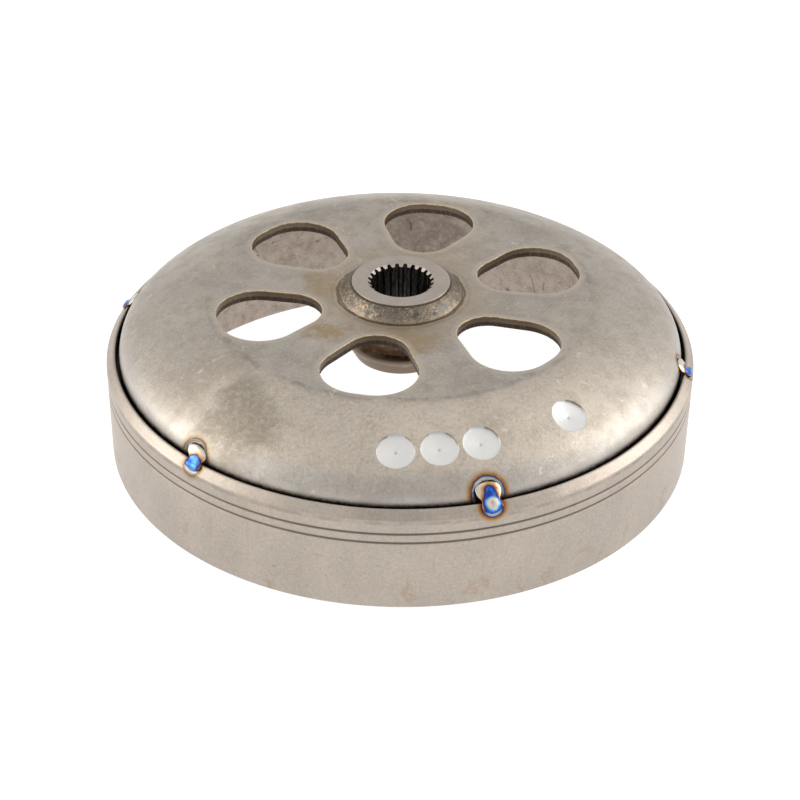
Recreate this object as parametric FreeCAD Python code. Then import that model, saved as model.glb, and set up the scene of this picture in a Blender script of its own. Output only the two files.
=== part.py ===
"""Clutch drum (outer bell) of a belt-driven CVT, built as the welded set that it is.

Every piece is a separate solid in its own STEP file:
  drum_band          turned outer band, pressed over the skirt of the cup
  bell_cup           deep-drawn steel cup with six windows and four balance spots
  splined_hub        turned hub with an internal spline
  hub_braze_top      braze fillet between hub and plate, outer side
  hub_braze_bottom   braze fillet between hub and plate, inner side
  rim_weld_1 .. 6    weld beads that bridge the cup's shoulder and the band

Millimetres. Z is the drum's axis and +Z points out of the closed end.
Heights are drawn from the band's lower face. main() then lifts every piece by the skirt's reach,
so the drum stands on the cup's open edge at z = 0.
"""
import FreeCAD, Part
import math
import os

from FreeCAD import Vector

# Driving dimensions: band
band_outer_radius = 83.5
band_height = 30.3
band_relief_radius = 80.7        # clearance round the cup's shoulder
band_relief_depth = 3.8
band_top_slope_width = 3.0       # the top face falls towards the outside
band_top_slope_drop = 1.9
band_edge_chamfer = 0.4
groove_heights = (24.0, 21.2)
groove_depth = 0.35
groove_width = 0.5

# Driving dimensions: cup
cup_outer_radius = 80.0          # also the band's inner radius
sheet = 3.2
skirt_reach = 2.4                # how far the open edge stands below the band
skirt_edge_chamfer = 0.4
shoulder_start = 26.0            # where the skirt begins to curve inwards, below the hub's end
crown_pull = ((80.0, 32.0), (78.3, 34.4), (72.9, 38.9), (58.0, 45.5))   # control points, r and z
plate_top = 45.5
plate_flat_radius = 53.4
plate_bore_radius = 13.8

# Driving dimensions: windows
window_count = 6
window_azimuth = -41.3           # degrees, first window
window_inner_centre = 32.45
window_inner_radius = 8.93
window_corner_centre = (41.28, 1.82)
window_corner_radius = 11.42

# Driving dimensions: balance spots, drilled square to the crown; azimuth and distance from the axis
balance_spots = ((-90.7, 69.5), (-81.4, 69.1), (-72.2, 69.0), (-49.9, 69.1))
spot_reference = (69.5, 40.0)    # a point of the crown's surface, radius and height
spot_tilt = 29.0                 # degrees, slope of the crown there
spot_radius = 5.0
spot_wall = 0.35
spot_cone = 0.65

# Driving dimensions: hub
spline_teeth = 24
spline_tip_radius = 8.45
spline_root_radius = 9.3
hub_top = 49.5
hub_boss_radius = 13.8
hub_flange_radius = 17.0
hub_flange_underside = 40.4
hub_neck_radius = 13.2
hub_neck_top = 37.0
hub_neck_bottom = 33.2
hub_collar_radius = 15.3
hub_collar_top = 32.0
hub_collar_edge = 30.5
hub_end_radius = 12.9
hub_bottom = 26.4
bore_chamfer = 0.9               # reaches just past the roots, so the mouth is round
bore_chamfer_depth = 0.4

# Driving dimensions: joints between the pieces
braze_top_radius = 17.6
braze_top_start = 49.1
braze_top_crown = 0.35
braze_bottom_radius = 19.6
braze_bottom_crown = 0.2
# azimuth of each weld and its size beside the largest; laid by hand, so not quite even
rim_welds = ((-72.9, 1.0), (-11.7, 0.72), (48.0, 0.8), (108.0, 0.76), (167.5, 0.72), (-130.9, 0.76))
weld_root = (80.4, 29.6)         # radius and height, in the gap between cup and band
crater_centre = (79.0, 32.0)     # the welds' own sizes and places are the largest weld's
crater_radius = 3.9
crater_depth = 1.3
crater_tilt = -30                # degrees, as placed() counts it
tongue_centre = (79.9, 31.3)
tongue_radius = 1.7
tongue_half_length = 3.0
tongue_tilt = 42
puddle_centre = (81.7, 29.9)
puddle_radius = 2.1
puddle_depth = 1.1
puddle_tilt = 90


def revolve(points):
    """Solid of revolution about Z from a closed outline of straight lines, points (r, z)."""
    corners = [Vector(r, 0, z) for r, z in points]
    wire = Part.makePolygon(corners + corners[:1])
    return Part.Face(wire).revolve(Vector(0, 0, 0), Vector(0, 0, 1), 360)


def turned(shape, degrees):
    """Copy of a shape turned about the drum's axis."""
    copy = shape.copy()
    copy.rotate(Vector(0, 0, 0), Vector(0, 0, 1), degrees)
    return copy


def placed_weld(shape, azimuth, size):
    """Copy of a shape drawn for the largest weld, scaled about the weld's root and turned in place."""
    copy = shape.copy()
    copy.scale(size, Vector(weld_root[0], 0, weld_root[1]))
    return turned(copy, azimuth)


def placed(shape, centre, tilt):
    """Shape drawn about +Z moved to azimuth 0, its axis pointing outwards and down by tilt degrees."""
    shape.rotate(Vector(0, 0, 0), Vector(0, 1, 0), 90 + tilt)
    shape.translate(Vector(centre[0], 0, centre[1]))
    return shape


def lens(radius, half_thickness):
    """Two equal spherical caps back to back."""
    ball_radius = (radius ** 2 + half_thickness ** 2) / (2 * half_thickness)
    offset = ball_radius - half_thickness
    lower = Part.makeSphere(ball_radius, Vector(0, 0, offset))
    upper = Part.makeSphere(ball_radius, Vector(0, 0, -offset))
    return lower.common(upper)


def capsule(radius, half_length):
    """Round rod with ball ends."""
    half_rod = half_length - radius
    rod = Part.makeCylinder(radius, 2 * half_rod, Vector(0, 0, -half_rod))
    ends = [Part.makeSphere(radius, Vector(0, 0, side * half_rod)) for side in (-1, 1)]
    return rod.fuse(ends)


def drum_band():
    slope_start = band_outer_radius - band_top_slope_width
    slope_foot = band_height - band_top_slope_drop
    relief_floor = band_height - band_relief_depth
    outline = [
        (cup_outer_radius, band_edge_chamfer),
        (cup_outer_radius + band_edge_chamfer, 0),
        (band_outer_radius - band_edge_chamfer, 0),
        (band_outer_radius, band_edge_chamfer),
    ]
    for height in sorted(groove_heights):
        outline += [
            (band_outer_radius, height - groove_width / 2),
            (band_outer_radius - groove_depth, height),
            (band_outer_radius, height + groove_width / 2),
        ]
    outline += [
        (band_outer_radius, slope_foot),
        (slope_start + 0.9, band_height),
        (band_relief_radius + 0.3, band_height),
        (band_relief_radius, band_height - 0.3),
        (band_relief_radius, relief_floor),
        (cup_outer_radius, relief_floor),
    ]
    return revolve(outline)


def window_cutter():
    """Prism with the outline of one window, pointing along +X."""
    corner_x, corner_y = window_corner_centre
    gap_x = corner_x - window_inner_centre
    spacing = math.hypot(gap_x, corner_y)
    tilt = math.atan2(corner_y, gap_x)
    side = tilt + math.acos((window_inner_radius - window_corner_radius) / spacing)
    corner_bearing = math.atan2(corner_y, corner_x)
    outer_reach = math.hypot(corner_x, corner_y) + window_corner_radius

    def on_circle(centre, radius, angle):
        return Vector(centre[0] + radius * math.cos(angle), centre[1] + radius * math.sin(angle), 0)

    def mirrored(point):
        return Vector(point.x, -point.y, 0)

    inner_touch = on_circle((window_inner_centre, 0), window_inner_radius, side)
    inner_end = on_circle((window_inner_centre, 0), window_inner_radius, math.pi)
    corner_touch = on_circle(window_corner_centre, window_corner_radius, side)
    corner_middle = on_circle(window_corner_centre, window_corner_radius, (side + corner_bearing) / 2)
    corner_end = on_circle((0, 0), outer_reach, corner_bearing)
    outer_middle = Vector(outer_reach, 0, 0)
    wire = Part.Wire([
        Part.Arc(mirrored(inner_touch), inner_end, inner_touch).toShape(),
        Part.LineSegment(inner_touch, corner_touch).toShape(),
        Part.Arc(corner_touch, corner_middle, corner_end).toShape(),
        Part.Arc(corner_end, outer_middle, mirrored(corner_end)).toShape(),
        Part.Arc(mirrored(corner_end), mirrored(corner_middle), mirrored(corner_touch)).toShape(),
        Part.LineSegment(mirrored(corner_touch), mirrored(inner_touch)).toShape(),
    ])
    prism = Part.Face(wire).extrude(Vector(0, 0, 20))
    prism.translate(Vector(0, 0, plate_top - 15))
    return prism


def spot_cutter(distance):
    """Shallow drilled spot with a flat-angled cone at its bottom, placed at azimuth 0."""
    fall = (distance - spot_reference[0]) * math.tan(math.radians(spot_tilt))
    wall = Part.makeCylinder(spot_radius, 10, Vector(0, 0, -spot_wall))
    cone = Part.makeCone(0, spot_radius, spot_cone, Vector(0, 0, -spot_wall - spot_cone))
    drill = wall.fuse(cone)
    drill.rotate(Vector(0, 0, 0), Vector(0, 1, 0), spot_tilt)
    drill.translate(Vector(distance, 0, spot_reference[1] - fall))
    return drill


def crown_curves():
    """The crown's outer curve, and the same curve one sheet thickness further in."""
    ends = (cup_outer_radius, shoulder_start), (plate_flat_radius, plate_top)
    poles = [Vector(r, 0, z) for r, z in (ends[0],) + crown_pull + (ends[1],)]
    outer = Part.BSplineCurve()
    outer.buildFromPoles(poles, False, 3)
    samples = 12
    parameters = [k / samples for k in range(samples + 1)]
    inner_points = []
    for parameter in parameters:
        along = outer.tangent(parameter)[0]
        inner_points.append(outer.value(parameter) + Vector(-along.z, 0, along.x) * sheet)
    inner = Part.BSplineCurve()
    inner.interpolate(Points=inner_points, Parameters=parameters)
    return outer, inner


def bell_cup():
    """Cup of revolution, less its windows, balance spots and weld craters."""
    outer, inner = crown_curves()
    skirt = [
        inner.StartPoint,
        Vector(cup_outer_radius - sheet, 0, skirt_edge_chamfer - skirt_reach),
        Vector(cup_outer_radius - sheet + skirt_edge_chamfer, 0, -skirt_reach),
        Vector(cup_outer_radius - skirt_edge_chamfer, 0, -skirt_reach),
        Vector(cup_outer_radius, 0, skirt_edge_chamfer - skirt_reach),
        outer.StartPoint,
    ]
    plate = [
        outer.EndPoint,
        Vector(plate_bore_radius, 0, plate_top),
        Vector(plate_bore_radius, 0, plate_top - sheet),
        inner.EndPoint,
    ]
    edges = Part.makePolygon(skirt).Edges + [outer.toShape()]
    edges += Part.makePolygon(plate).Edges + [inner.toShape()]
    cup = Part.Face(Part.Wire(edges)).revolve(Vector(0, 0, 0), Vector(0, 0, 1), 360)
    cutters = [turned(window_cutter(), window_azimuth + 60 * k) for k in range(window_count)]
    cutters += [turned(spot_cutter(distance), azimuth) for azimuth, distance in balance_spots]
    crater = placed(lens(crater_radius, crater_depth), crater_centre, crater_tilt)
    cutters += [placed_weld(crater, azimuth, size) for azimuth, size in rim_welds]
    return cup.cut(Part.makeCompound(cutters))


def spline_cutter():
    """Bore with spline spaces: a round bore plus one straight-sided space per tooth."""
    length = hub_top - hub_bottom + 2
    bore = Part.makeCylinder(spline_tip_radius, length, Vector(0, 0, hub_bottom - 1))
    pitch = 2 * math.pi / spline_teeth
    space_foot = spline_tip_radius * pitch * 0.32
    space_end = spline_root_radius * pitch * 0.2
    foot = spline_tip_radius - 0.5
    corners = [(foot, -space_foot), (spline_root_radius, -space_end),
               (spline_root_radius, space_end), (foot, space_foot)]
    points = [Vector(x, y, hub_bottom - 1) for x, y in corners]
    space = Part.Face(Part.makePolygon(points + points[:1])).extrude(Vector(0, 0, length))
    half_pitch = 180 / spline_teeth
    spaces = [turned(space, half_pitch + 2 * half_pitch * k) for k in range(spline_teeth)]
    return bore.multiFuse(spaces)


def splined_hub():
    bore = spline_tip_radius - 1
    body = revolve([
        (bore, hub_bottom),
        (hub_end_radius, hub_bottom),
        (hub_collar_radius, hub_collar_edge),
        (hub_collar_radius, hub_collar_top),
        (hub_neck_radius + 0.8, hub_neck_bottom - 0.6),
        (hub_neck_radius, hub_neck_bottom),
        (hub_neck_radius, hub_neck_top),
        (hub_flange_radius - 1.6, hub_flange_underside),
        (hub_flange_radius, hub_flange_underside),
        (hub_flange_radius, plate_top - sheet),
        (hub_boss_radius, plate_top - sheet),
        (hub_boss_radius, hub_top - 0.3),
        (hub_boss_radius - 0.3, hub_top),
        (bore, hub_top),
    ])
    edge = spline_tip_radius + bore_chamfer
    fall = edge * bore_chamfer_depth / bore_chamfer
    top_chamfer = revolve([(0, hub_top - fall), (edge, hub_top), (0, hub_top)])
    bottom_chamfer = revolve([(0, hub_bottom + fall), (edge, hub_bottom), (0, hub_bottom)])
    return body.cut(Part.makeCompound([spline_cutter(), top_chamfer, bottom_chamfer]))


def braze_fillet(hub_radius, hub_height, plate_radius, plate_height, crown):
    """Ring of braze in the corner between hub and plate; crown is how far its face bulges."""
    hub_edge = Vector(hub_radius, 0, hub_height)
    corner = Vector(hub_radius, 0, plate_height)
    plate_edge = Vector(plate_radius, 0, plate_height)
    outwards = (hub_edge + plate_edge) * 0.5 - corner
    middle = (hub_edge + plate_edge) * 0.5 + outwards.normalize() * crown
    face = Part.Arc(plate_edge, middle, hub_edge).toShape()
    edges = Part.makePolygon([hub_edge, corner, plate_edge]).Edges + [face]
    return Part.Face(Part.Wire(edges)).revolve(Vector(0, 0, 0), Vector(0, 0, 1), 360)


def rim_weld(azimuth, size, cup, band):
    """Tongue out of the crater and puddle on the band, less what the cup and the band fill."""
    tongue = placed(capsule(tongue_radius, tongue_half_length), tongue_centre, tongue_tilt)
    puddle = placed(lens(puddle_radius, puddle_depth), puddle_centre, puddle_tilt)
    bead = placed_weld(tongue.fuse(puddle), azimuth, size)
    return bead.cut(Part.makeCompound([cup, band]))


def main():
    os.makedirs("parts", exist_ok=True)
    cup = bell_cup()
    band = drum_band()
    pieces = {
        "drum_band": band,
        "bell_cup": cup,
        "splined_hub": splined_hub(),
        "hub_braze_top": braze_fillet(
            hub_boss_radius, braze_top_start, braze_top_radius, plate_top, braze_top_crown),
        "hub_braze_bottom": braze_fillet(
            hub_flange_radius, hub_flange_underside, braze_bottom_radius, plate_top - sheet,
            braze_bottom_crown),
    }
    for number, (azimuth, size) in enumerate(rim_welds, start=1):
        pieces[f"rim_weld_{number}"] = rim_weld(azimuth, size, cup, band)
    for name, shape in pieces.items():
        shape.translate(Vector(0, 0, skirt_reach))
        shape.exportStep(os.path.join("parts", name + ".step"))
        solids = len(shape.Solids)
        print(f"{name}: {solids} solid(s), {shape.Volume:.1f} mm3, valid {shape.isValid()}")


main()
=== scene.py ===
"""Looks of the clutch drum: fine meshes, bare-steel materials, light and camera.

Lengths are in millimetres until a mesh is made, and Z is the drum's axis. The sizes repeat the
CAD part's driving dimensions, so every piece lies where its CAD node lies. Finer touches go beyond
the CAD part: craters and beads that lean, a deeper chamfer on the spline, shallower grooves and
tilted balance spots. Heights are counted from the band's lower face, and make_piece() lifts each
mesh by the skirt's reach, as the part does.
"""
import math

import bpy
import numpy as np
from mathutils import Matrix, Vector
from mathutils.geometry import delaunay_2d_cdt


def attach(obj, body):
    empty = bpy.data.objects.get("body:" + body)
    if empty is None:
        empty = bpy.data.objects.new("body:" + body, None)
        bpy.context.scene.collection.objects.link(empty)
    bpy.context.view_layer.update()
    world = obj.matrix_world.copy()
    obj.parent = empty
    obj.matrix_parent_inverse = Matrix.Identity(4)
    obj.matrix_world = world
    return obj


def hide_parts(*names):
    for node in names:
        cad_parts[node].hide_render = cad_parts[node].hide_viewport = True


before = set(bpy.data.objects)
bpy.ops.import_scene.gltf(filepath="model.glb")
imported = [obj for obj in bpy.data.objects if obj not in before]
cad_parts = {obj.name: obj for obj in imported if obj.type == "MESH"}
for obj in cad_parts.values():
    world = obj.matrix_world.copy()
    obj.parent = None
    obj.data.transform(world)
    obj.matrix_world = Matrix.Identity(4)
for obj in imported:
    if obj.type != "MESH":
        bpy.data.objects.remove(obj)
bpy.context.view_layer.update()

MM = 0.001

# ---------------------------------------------------------------- sizes, as in the CAD part
BAND_OUTER = 83.5
BAND_HEIGHT = 30.3
BAND_SLOPE_DROP = 1.9
RELIEF_RADIUS = 80.7
RELIEF_FLOOR = 26.5
GROOVES = (24.0, 21.2)

CUP_OUTER = 80.0
SHEET = 3.2
SKIRT_REACH = 2.4
SKIRT_EDGE = 0.4
SHOULDER_START = 26.0
CROWN_PULL = ((80.0, 32.0), (78.3, 34.4), (72.9, 38.9), (58.0, 45.5))
PLATE_TOP = 45.5
PLATE_FLAT = 53.4
PLATE_BORE = 13.8

WINDOW_AZIMUTH = -41.3
WINDOW_INNER_CENTRE = 32.45
WINDOW_INNER_RADIUS = 8.93
WINDOW_CORNER = (41.28, 1.82)
WINDOW_CORNER_RADIUS = 11.42

SPOTS = ((-90.7, 69.5), (-81.4, 69.1), (-72.2, 69.0), (-49.9, 69.1))
SPOT_RADIUS = 5.0

SPLINE_TEETH = 24
SPLINE_TIP = 8.45
SPLINE_ROOT = 9.3
SPLINE_CHAMFER = 0.9
SPLINE_CHAMFER_DEPTH = 0.7
HUB_TOP = 49.5
HUB_BOTTOM = 26.4
HUB_BOSS = 13.8
BRAZE_TOP_RADIUS = 17.6
BRAZE_BOTTOM_RADIUS = 19.6
HUB_FLANGE = 17.0
HUB_FLANGE_UNDERSIDE = 40.4

# azimuth of each weld on the band, its size beside the largest, and how far its crater stands aside
WELDS = ((-73.1, 1.0, -0.35), (-10.9, 0.74, 0.5), (48.0, 0.8, 0.2), (108.0, 0.76, -0.2),
         (167.5, 0.72, 0.0), (-130.7, 0.95, -1.6))
CRATER_PATH = 78.0
CRATER_RADIUS = 4.35
PUDDLE_RADIUS = 2.75
PUDDLE_CENTRE = (82.0, 30.0)


# ---------------------------------------------------------------- small helpers
def smoothstep(low, high, value):
    t = np.clip((value - low) / (high - low), 0, 1)
    return t * t * (3 - 2 * t)


def wrap_degrees(angle):
    """Angle brought into -180 to 180 degrees."""
    return (np.asarray(angle) + 180) % 360 - 180


def soft_noise(points, size, seed, octaves=3):
    """Smooth noise of about -1 to 1 at 3-D points, as a sum of tilted sine waves."""
    source = np.random.default_rng(seed)
    total = np.zeros(len(points))
    weight = 0
    for octave in range(octaves):
        for _ in range(6):
            direction = source.normal(size=3)
            direction *= 2 * math.pi / (size * np.linalg.norm(direction)) * 2 ** octave
            total += np.sin(points @ direction + source.uniform(0, 6.283)) / 2 ** octave
        weight += math.sqrt(3) / 2 ** octave
    return total / weight


def make_piece(name, points, faces, materials, face_material=None, attributes=None, sharp=35):
    """Mesh object from millimetre points, with smooth shading and crisp edges."""
    mesh = bpy.data.meshes.new(name)
    mesh.from_pydata(((np.asarray(points) + (0, 0, SKIRT_REACH)) * MM).tolist(), [], faces)
    for material in materials:
        mesh.materials.append(material)
    if face_material is not None:
        mesh.polygons.foreach_set("material_index", np.asarray(face_material, np.int32))
    for key, values in (attributes or {}).items():
        layer = mesh.attributes.new(key, "FLOAT", "POINT")
        layer.data.foreach_set("value", np.asarray(values, np.float32))
    mesh.polygons.foreach_set("use_smooth", np.ones(len(mesh.polygons), bool))
    mesh.set_sharp_from_angle(angle=math.radians(sharp))
    mesh.update()
    piece = bpy.data.objects.new(name, mesh)
    bpy.context.scene.collection.objects.link(piece)
    return piece


def grid_faces(rows, columns, first=0, closed=True, flip=False):
    """Quads of a rows x columns grid of points; closed joins the last column to the first."""
    faces = []
    last = columns if closed else columns - 1
    for row in range(rows - 1):
        for column in range(last):
            a = first + row * columns + column
            b = first + row * columns + (column + 1) % columns
            quad = (a, b, b + columns, a + columns)
            faces.append(quad[::-1] if flip else quad)
    return faces


def lathe(profile, azimuths):
    """Points of a closed profile turned about Z, row by row, with the faces that join them."""
    angle = np.radians(azimuths)
    rows = [np.column_stack([r * np.cos(angle), r * np.sin(angle), np.full(len(angle), z)])
            for r, z in profile]
    count = len(profile)
    columns = len(angle)
    faces = grid_faces(count, columns)
    last = (count - 1) * columns
    for column in range(columns):
        after = (column + 1) % columns
        faces.append((last + column, last + after, after, column))
    return np.vstack(rows), faces


def refine(profile, step):
    """Profile with every straight run cut into pieces no longer than step."""
    result = []
    for here, there in zip(profile, profile[1:] + profile[:1]):
        run = math.dist(here, there)
        pieces = max(1, math.ceil(run / step))
        for k in range(pieces):
            t = k / pieces
            result.append((here[0] + (there[0] - here[0]) * t, here[1] + (there[1] - here[1]) * t))
    return result


def band_azimuths():
    """Azimuths round the drum, close together at the welds."""
    angles = list(np.arange(-180, 180, 0.75))
    for azimuth, _, _ in WELDS:
        angles += list(azimuth + np.arange(-5, 5, 0.14))
    angles = np.sort(wrap_degrees(angles))
    keep = np.concatenate([[True], np.diff(angles) > 0.07])
    return angles[keep]


# ---------------------------------------------------------------- the cup's surfaces
def crown_curve():
    """Points of the clamped cubic spline between skirt and plate, as the CAD part draws it."""
    poles = np.array([(CUP_OUTER, SHOULDER_START), *CROWN_PULL, (PLATE_FLAT, PLATE_TOP)])
    knots = np.array([0, 0, 0, 0, 1 / 3, 2 / 3, 1, 1, 1, 1])
    points = []
    for t in np.linspace(0, 1, 241)[:-1]:
        span = 3 + int(t * 3)
        work = [poles[span - 3 + j].copy() for j in range(4)]
        for level in range(1, 4):
            for j in range(3, level - 1, -1):
                low = knots[span - 3 + j]
                high = knots[span + 1 + j - level]
                share = (t - low) / (high - low)
                work[j] = (1 - share) * work[j - 1] + share * work[j]
        points.append(work[3])
    return np.array(points + [poles[-1]])


class Surface:
    """Surface of revolution addressed by s, the distance along its profile, and azimuth."""

    def __init__(self, profile):
        self.r = profile[:, 0]
        self.z = profile[:, 1]
        steps = np.hypot(np.diff(self.r), np.diff(self.z))
        self.s = self.r[0] + np.concatenate([[0], np.cumsum(steps)])
        self.slope_r = np.gradient(self.r, self.s)
        self.slope_z = np.gradient(self.z, self.s)

    def s_at_radius(self, radius):
        turn = np.argmax(self.r > CUP_OUTER - 0.05) if self.r.max() > 79.9 else len(self.r)
        return float(np.interp(radius, self.r[:turn], self.s[:turn]))

    def point(self, s, angle):
        """3-D points at distances s and angles in radians."""
        r = np.interp(s, self.s, self.r)
        z = np.interp(s, self.s, self.z)
        return np.column_stack([r * np.cos(angle), r * np.sin(angle), z])

    def normal(self, s, angle):
        """Unit normals that point out of the drum for the outer surface."""
        along_r = np.interp(s, self.s, self.slope_r)
        along_z = np.interp(s, self.s, self.slope_z)
        length = np.hypot(along_r, along_z)
        n_r = -along_z / length
        n_z = along_r / length
        return np.column_stack([n_r * np.cos(angle), n_r * np.sin(angle), n_z])


def plate_radii():
    return np.linspace(PLATE_BORE, PLATE_FLAT, 20)[:-1]


def skirt_heights():
    return np.linspace(SHOULDER_START, SKIRT_EDGE - SKIRT_REACH, 12)[1:]


def outer_profile():
    crown = crown_curve()[::-1]
    skirt = np.array([(CUP_OUTER, z) for z in skirt_heights()])
    plate = np.array([(r, PLATE_TOP) for r in plate_radii()])
    return np.vstack([plate, crown, skirt])


def inner_profile():
    """The outer profile, one sheet thickness further in."""
    crown = crown_curve()[::-1]
    along = np.gradient(crown, axis=0)
    along /= np.linalg.norm(along, axis=1)[:, None]
    inner = crown + np.column_stack([along[:, 1], -along[:, 0]]) * SHEET
    plate = np.array([(r, PLATE_TOP - SHEET) for r in plate_radii()])
    skirt = np.array([(CUP_OUTER - SHEET, z) for z in skirt_heights()])
    return np.vstack([plate, inner, skirt])


def window_shape():
    """Direction of the straight side's normal, bearing of the corner's centre, radius of the far side."""
    corner_x, corner_y = WINDOW_CORNER
    gap = corner_x - WINDOW_INNER_CENTRE
    taper = math.acos((WINDOW_INNER_RADIUS - WINDOW_CORNER_RADIUS) / math.hypot(gap, corner_y))
    side = math.atan2(corner_y, gap) + taper
    bearing = math.atan2(corner_y, corner_x)
    reach = math.hypot(corner_x, corner_y) + WINDOW_CORNER_RADIUS
    return side, bearing, reach


def window_outline(offset, step=0.5):
    """Closed outline of the window on the +X axis, pushed outwards by offset."""
    side, bearing, reach = window_shape()

    def arc(centre, radius, start, end):
        count = max(3, round(abs(end - start) * WINDOW_CORNER_RADIUS / step))
        angle = np.linspace(start, end, count)
        return np.column_stack([centre[0] + radius * np.cos(angle), centre[1] + radius * np.sin(angle)])

    inner_arc = arc((WINDOW_INNER_CENTRE, 0), WINDOW_INNER_RADIUS + offset, side, math.pi)
    corner_arc = arc(WINDOW_CORNER, WINDOW_CORNER_RADIUS + offset, bearing, side)
    outer_arc = arc((0, 0), reach + offset, 0, bearing)
    count = round(math.dist(corner_arc[-1], inner_arc[0]) / step) + 2
    line = np.linspace(corner_arc[-1], inner_arc[0], count)
    upper = np.vstack([outer_arc[:-1], corner_arc[:-1], line[:-1], inner_arc])
    lower = upper[1:-1][::-1] * (1, -1)
    return np.vstack([upper, lower])


def window_distance(xy):
    """Distance from the nearest window's outline; negative inside a window."""
    angle = np.degrees(np.arctan2(xy[:, 1], xy[:, 0])) - WINDOW_AZIMUTH
    angle = np.radians((angle + 30) % 60 - 30)
    radius = np.hypot(xy[:, 0], xy[:, 1])
    x = radius * np.cos(angle)
    y = np.abs(radius * np.sin(angle))
    corner_x, corner_y = WINDOW_CORNER
    side, bearing, reach = window_shape()
    normal = (math.cos(side), math.sin(side))
    from_inner = np.hypot(x - WINDOW_INNER_CENTRE, y) - WINDOW_INNER_RADIUS
    from_corner = np.hypot(x - corner_x, y - corner_y) - WINDOW_CORNER_RADIUS
    from_line = (x - WINDOW_INNER_CENTRE) * normal[0] + y * normal[1] - WINDOW_INNER_RADIUS
    along = (x - WINDOW_INNER_CENTRE) * normal[1] - y * normal[0]
    run = (corner_x - WINDOW_INNER_CENTRE) * normal[1] - corner_y * normal[0]
    distance = np.where(along < 0, from_inner, np.where(along < run, from_line, from_corner))
    far_side = (np.arctan2(y, x) < bearing) & (x > corner_x)
    return np.where(far_side, radius - reach, distance)


def rotate2(points, degrees):
    c = math.cos(math.radians(degrees))
    s = math.sin(math.radians(degrees))
    return points @ np.array([[c, s], [-s, c]])


class Sheet:
    """One face of the cup: points laid out flat by (s, azimuth), then joined by a triangulation."""

    def __init__(self, surface):
        self.surface = surface
        self.flat = []
        self.place = []
        self.edges = []
        self.count = 0

    def add(self, s, angle, place=None, loop=False):
        """Adds points by s and angle; place overrides where they lie in 3-D. Returns their numbers."""
        s = np.asarray(s, float)
        angle = np.asarray(angle, float)
        self.flat.append(np.column_stack([s * np.cos(angle), s * np.sin(angle)]))
        self.place.append(self.surface.point(s, angle) if place is None else place)
        numbers = np.arange(self.count, self.count + len(s))
        self.count += len(s)
        if loop:
            self.edges += list(zip(numbers.tolist(), np.roll(numbers, -1).tolist()))
        return numbers

    def triangles(self):
        flat = np.vstack(self.flat)
        result = delaunay_2d_cdt([Vector(p) for p in flat], self.edges, [], 1, 1e-5)
        coords, _, faces, origins = result[0], result[1], result[2], result[3]
        number = [o[0] for o in origins]
        if len(coords) != len(flat):
            print("triangulation merged", len(flat) - len(coords), "points")
        return [tuple(number[i] for i in face) for face in faces]


def to_surface(sheet_surface, xy):
    """(s, angle) of points given in plan."""
    radius = np.hypot(xy[:, 0], xy[:, 1])
    s = np.interp(radius, sheet_surface.r[:60], sheet_surface.s[:60])
    return s, np.arctan2(xy[:, 1], xy[:, 0])


def base_points(sheet, start, stop, step, blocked):
    """Staggered rings of points between two distances, left out where blocked says so."""
    surface = sheet.surface
    rings = max(2, round((stop - start) / step))
    for k, s in enumerate(np.linspace(start, stop, rings)[:-1]):
        radius = float(np.interp(s, surface.s, surface.r))
        count = round(2 * math.pi * radius / step)
        angle = (np.arange(count) + 0.5 * (k % 2)) * 2 * math.pi / count
        keep = ~blocked(np.full(count, s), angle)
        sheet.add(np.full(count, s)[keep], angle[keep])


def feature_offsets(s, angle, centre_s, azimuth, surface):
    """Distances round the drum and down the profile from a feature's centre."""
    radius = float(np.interp(centre_s, surface.s, surface.r))
    around = np.radians(wrap_degrees(np.degrees(angle) - azimuth)) * radius
    return around, s - centre_s


def ring(sheet, centre_s, azimuth, radius, step, phase=0.0, others=(), loop=False):
    """Ring of surface points round a balance spot, left out where it would enter another one."""
    surface = sheet.surface
    count = max(8, round(2 * math.pi * radius / step))
    turn = (np.arange(count) + phase) * 2 * math.pi / count
    drum_radius = float(np.interp(centre_s, surface.s, surface.r))
    s = centre_s + radius * np.sin(turn)
    angle = math.radians(azimuth) + radius * np.cos(turn) / drum_radius
    keep = np.ones(count, bool)
    for other, distance in others:
        other_s = surface.s_at_radius(distance)
        keep &= np.hypot(*feature_offsets(s, angle, other_s, other, surface)) > SPOT_RADIUS + 0.12
    sheet.add(s[keep], angle[keep], loop=loop)


# radius and depth of the rings that make a balance spot's cone, below the foot of its short wall
SPOT_RINGS = ((SPOT_RADIUS - 0.05, 0.0), (4.8, 0.05), (4.2, 0.15), (3.4, 0.25), (2.6, 0.34),
              (1.8, 0.43), (1.1, 0.51), (0.5, 0.58), (0.0, 0.68))
SPOT_WALL_FOOT = 0.6
SPOT_TILT_BACK = 3.0


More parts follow.
